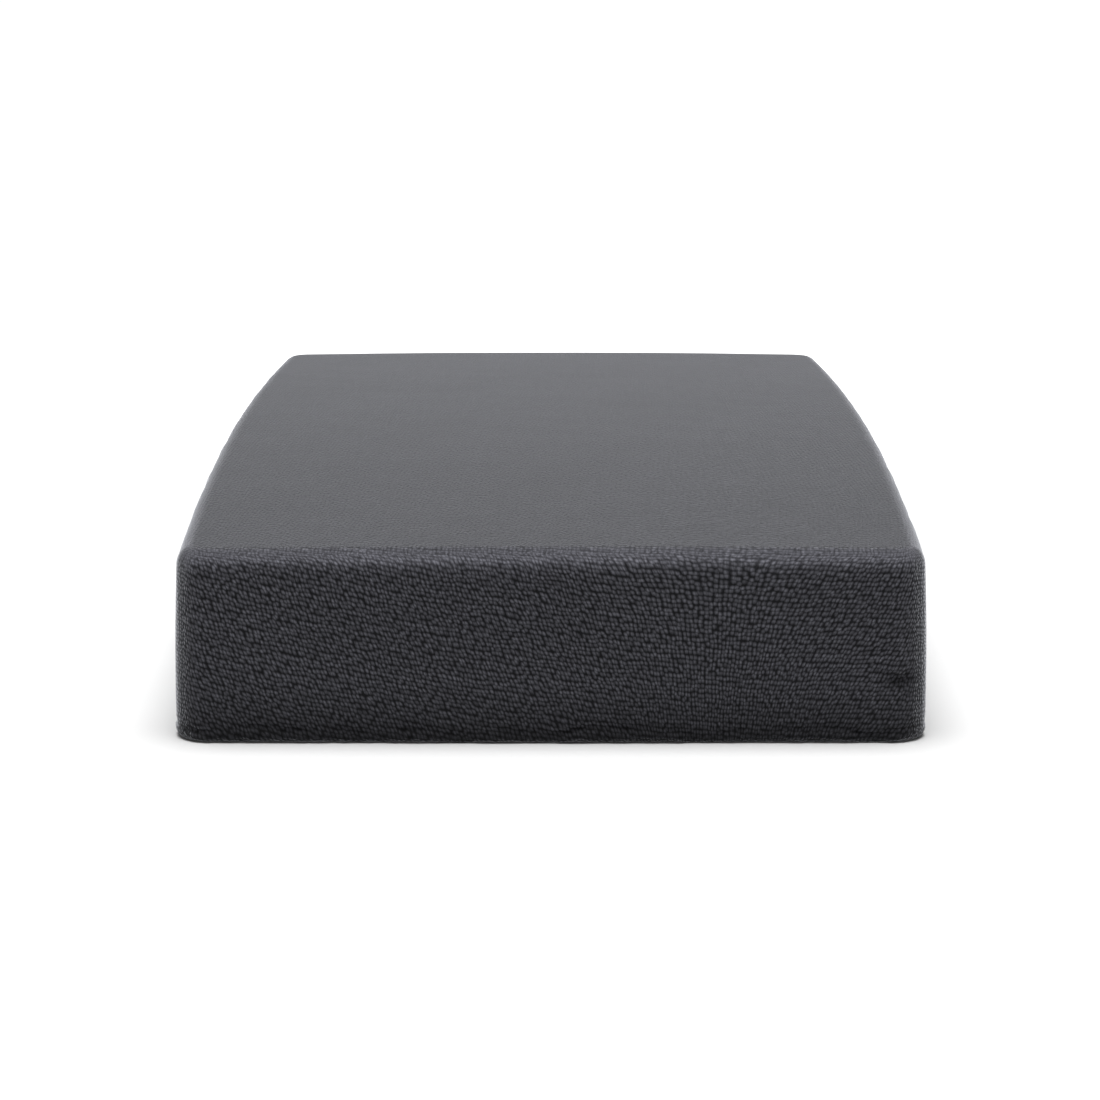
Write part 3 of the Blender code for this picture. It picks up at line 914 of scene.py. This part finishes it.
slider.data.materials.append(zinc)
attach(slider, "zip_slider")
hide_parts("zip_slider")


# ---- Zip pull ----------------------------------------------------------------------------------------
# A flat die-cast tab with a round end, a thumb hole and a sunk grip. Two arms hold a cross pin that turns in
# the slider's loop.

PULL_AXIS_Y = 0.9553
PIN = 0.00055                    # radius of the cross pin
ARM = 0.0012                     # width of each arm
ARM_THICK = 0.0010
ARM_BITE = 0.0012                # how deep an arm goes into the tab
ARM_PAST = 0.0006                # how far it goes past the pin's centre
ARM_SHARE = 0.98                 # its outer face, in half widths of the pull
PIN_SHORT = 0.0008               # how much shorter than the pull's width the pin is
TAB_THICK = 0.0011
TAB_FROM_PIN = 0.005             # the gap that the slider's loop needs
TAB_SINK = 0.0002                # depth of the grip on each face
HOLE = 0.0017                    # radius of the thumb hole
HOLE_FROM_END = 0.0045
ROUND_SHARE = 0.97               # of the half width: the round end's radius
INNER_SHARE = 0.35               # of that: the radius at the arms' end
PULL_ROUND = 0.00015
low, high = map(np.array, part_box("zip_pull"))
pull_half = (high[2] - low[2]) / 2
tab_end = slider_x - TAB_FROM_PIN
tab = block("pull_tab", (low[0], PULL_AXIS_Y - TAB_THICK / 2, ZIP_AT - pull_half),
            (tab_end, PULL_AXIS_Y + TAB_THICK / 2, ZIP_AT + pull_half))
tab_middle = (low[0] + tab_end) / 2
round_corners(tab, TAB_THICK, pull_half * ROUND_SHARE, 10, lambda x: 1.0 if x < tab_middle else INNER_SHARE)
for way in (1, -1):
    sink_face(tab, way, RIM, TAB_SINK)
deselect()
bpy.ops.mesh.primitive_cylinder_add(
    vertices=28, radius=HOLE, depth=0.006, location=(low[0] + HOLE_FROM_END, PULL_AXIS_Y, ZIP_AT),
    rotation=(pi / 2, 0, 0),
)
punch = bpy.context.object
hole = tab.modifiers.new("hole", "BOOLEAN")
hole.operation = "DIFFERENCE"
hole.object = punch
apply_modifiers(tab)
bpy.data.objects.remove(punch)
arms = []
for way in (1, -1):
    arm_z = sorted(ZIP_AT + way * (pull_half * ARM_SHARE - inner) for inner in (0, ARM))
    arms.append(block("pull_arm", (tab_end - ARM_BITE, PULL_AXIS_Y - ARM_THICK / 2, arm_z[0]),
                      (slider_x + ARM_PAST, PULL_AXIS_Y + ARM_THICK / 2, arm_z[1])))
deselect()
bpy.ops.mesh.primitive_cylinder_add(
    vertices=20, radius=PIN, depth=2 * pull_half - PIN_SHORT, location=(slider_x, PULL_AXIS_Y, ZIP_AT)
)
bpy.ops.object.transform_apply(location=True)
pull = join([tab, *arms, bpy.context.object], "pull_tab")
soften(pull, PULL_ROUND)
pull.data.materials.clear()
pull.data.materials.append(zinc)
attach(pull, "zip_pull")
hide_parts("zip_pull")


# ---- Care label --------------------------------------------------------------------------------------
# A blank satin ribbon, folded in half with its cut ends sewn in under the open end of the zip. It hangs flat
# against the pile.

RIBBON = 0.00014                 # thickness of the ribbon
RUFFLE = 0.0002                  # how far its loose end waves
LABEL_CELLS = (24, 84)
low, high = map(np.array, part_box("care_label"))
middle, size = (low + high) / 2, high - low
half_long = size[2]              # of the ribbon before it is folded
deselect()
bpy.ops.mesh.primitive_grid_add(x_subdivisions=LABEL_CELLS[0], y_subdivisions=LABEL_CELLS[1], size=1)
label = bpy.context.object
label.name = label.data.name = "ribbon_label"
place = coords(label.data)
across, run = place[:, 0] * size[0], place[:, 1] * 2 * half_long
bend = size[1] / 2 - RIBBON
turn = np.clip(run / bend, -pi / 2, pi / 2)
straight = np.abs(run) - bend * pi / 2
hang = np.where(straight > 0, straight, -bend * np.cos(turn)) - (half_long - bend * pi / 2)
ruffle = RUFFLE * np.sin(across / size[0] * 2 * pi) * fade(-hang, 0.004, half_long)
move(label.data, np.stack(
    [middle[0] + across, middle[1] + bend * np.sin(turn) + ruffle, high[2] + np.minimum(hang, 0.0)], axis=1
))
thicken(label, RIBBON)
label.data.materials.append(woven("satin_ribbon", "#c9c8c4", "#dcdbd6", 0.0008, 0.42, ribs=0.5))
label.data.shade_smooth()
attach(label, "mattress")
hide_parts("care_label")


# ---- Inner liner -------------------------------------------------------------------------------------
# Unbleached cotton: a panel under the fill, a border round it and a panel over it, sewn together so that the
# fill stays whole when the cover is off.

PANEL_CELL = 0.05
PANEL_DENT = 0.0003
cotton = woven("unbleached_cotton", "#b9b09c", "#e2dccb", 0.0014, 0.9)


def soft_copy(name, node_name, cell):
    """A CAD solid's shape as a mesh that is fine enough to be made soft."""
    made = bpy.data.objects.new(name, nodes[node_name].data.copy())
    bpy.context.scene.collection.objects.link(made)
    made.data.name = name
    made.data.materials.clear()
    deselect()
    made.select_set(True)
    bpy.context.view_layer.objects.active = made
    bpy.context.tool_settings.mesh_select_mode = (True, False, False)
    bpy.ops.object.mode_set(mode="EDIT")
    bpy.ops.mesh.select_all(action="SELECT")
    bpy.ops.mesh.remove_doubles(threshold=1e-5)
    for _ in range(2):
        bpy.ops.mesh.select_all(action="DESELECT")
        bpy.ops.object.mode_set(mode="OBJECT")
        for edge in made.data.edges:
            ends = [made.data.vertices[i].co for i in edge.vertices]
            edge.select = (ends[0] - ends[1]).length > cell
        bpy.ops.object.mode_set(mode="EDIT")
        bpy.ops.mesh.subdivide(number_cuts=2)
        bpy.ops.mesh.select_all(action="SELECT")
        bpy.ops.mesh.quads_convert_to_tris(quad_method="BEAUTY")
    bpy.ops.object.mode_set(mode="OBJECT")
    return made


def dent(obj, depth, sizes, seed):
    """Sinks the surface unevenly by up to the depth, so that it stays clear of what is beside it."""
    place = coords(obj.data)
    share = 0.5 + 0.5 * np.clip(waves(place, sizes, seed), -1, 1)
    move(obj.data, place - normals(obj.data) * (depth * share)[:, None])
    shade_smooth(obj)


for part, node_name in (("base", "liner_base_panel"), ("border", "liner_border"), ("top", "liner_top_panel")):
    low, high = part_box(node_name)
    panel = soft_copy("cotton_" + part, node_name, PANEL_CELL)
    dent(panel, PANEL_DENT, (0.05, 0.12), 21)
    panel.data.materials.append(cotton)
    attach(panel, "mattress")
    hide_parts(node_name)


# ---- Fill --------------------------------------------------------------------------------------------
# Three layers of carded cotton and polyester batting with two slabs of cut polyurethane foam between them,
# laid up loose inside the liner. Batting is fibrous and uneven, foam is flat with fine open pores.

FILL_CELL = 0.03
BATTING_DENT = 0.0022
FOAM_DENT = 0.0004
FIBRE_CLUMP = (0.004, 0.016, 0.002)
PORE = 0.0022                    # foam's cells are finer, and are drawn as coarse as they need to show
batting = new_material("carded_batting")
place = node(batting, "ShaderNodeTexCoord")
laid = node(batting, "ShaderNodeMapping", [("Vector", place, "Object")])
laid.inputs["Scale"].default_value = tuple(1 / size for size in FIBRE_CLUMP)
fibres = node(batting, "ShaderNodeTexNoise", [("Vector", laid, "Vector")], in_Scale=1.0, in_Detail=5.0)
clump = node(batting, "ShaderNodeValToRGB", [("Fac", fibres, "Fac")])
clump.color_ramp.elements[0].color = linear("#c4bca9")
clump.color_ramp.elements[1].color = linear("#efeadd")
relief = node(batting, "ShaderNodeBump", [("Height", fibres, "Fac")], in_Strength=0.7, in_Distance=0.0015)
shader = node(
    batting, "ShaderNodeBsdfPrincipled", [("Base Color", clump, "Color"), ("Normal", relief, "Normal")],
    in_Roughness=1.0, in_Sheen_Weight=0.4,
)
finish_material(batting, shader)

foam = new_material("cut_polyurethane_foam")
place = node(foam, "ShaderNodeTexCoord")
pores = node(foam, "ShaderNodeTexVoronoi", [("Vector", place, "Object")], in_Scale=1 / PORE)
cells = node(foam, "ShaderNodeValToRGB", [("Fac", pores, "Distance")])
cells.color_ramp.elements[0].color = linear("#b9a46f")
cells.color_ramp.elements[1].color = linear("#e6d9ad")
cells.color_ramp.elements[1].position = 0.45
relief = node(foam, "ShaderNodeBump", [("Height", pores, "Distance")], in_Strength=0.5, in_Distance=0.0008)
shader = node(
    foam, "ShaderNodeBsdfPrincipled", [("Base Color", cells, "Color"), ("Normal", relief, "Normal")],
    in_Roughness=0.9,
)
finish_material(foam, shader)

for layer in ("batting_bottom", "foam_lower", "batting_middle", "foam_upper", "batting_top"):
    is_foam = layer.startswith("foam")
    pad = soft_copy("fill_" + layer, layer, FILL_CELL)
    dent(pad, FOAM_DENT if is_foam else BATTING_DENT, (0.018, 0.04, 0.11), 31 + len(layer))
    pad.data.materials.append(foam if is_foam else batting)
    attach(pad, "mattress")
    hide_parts(layer)
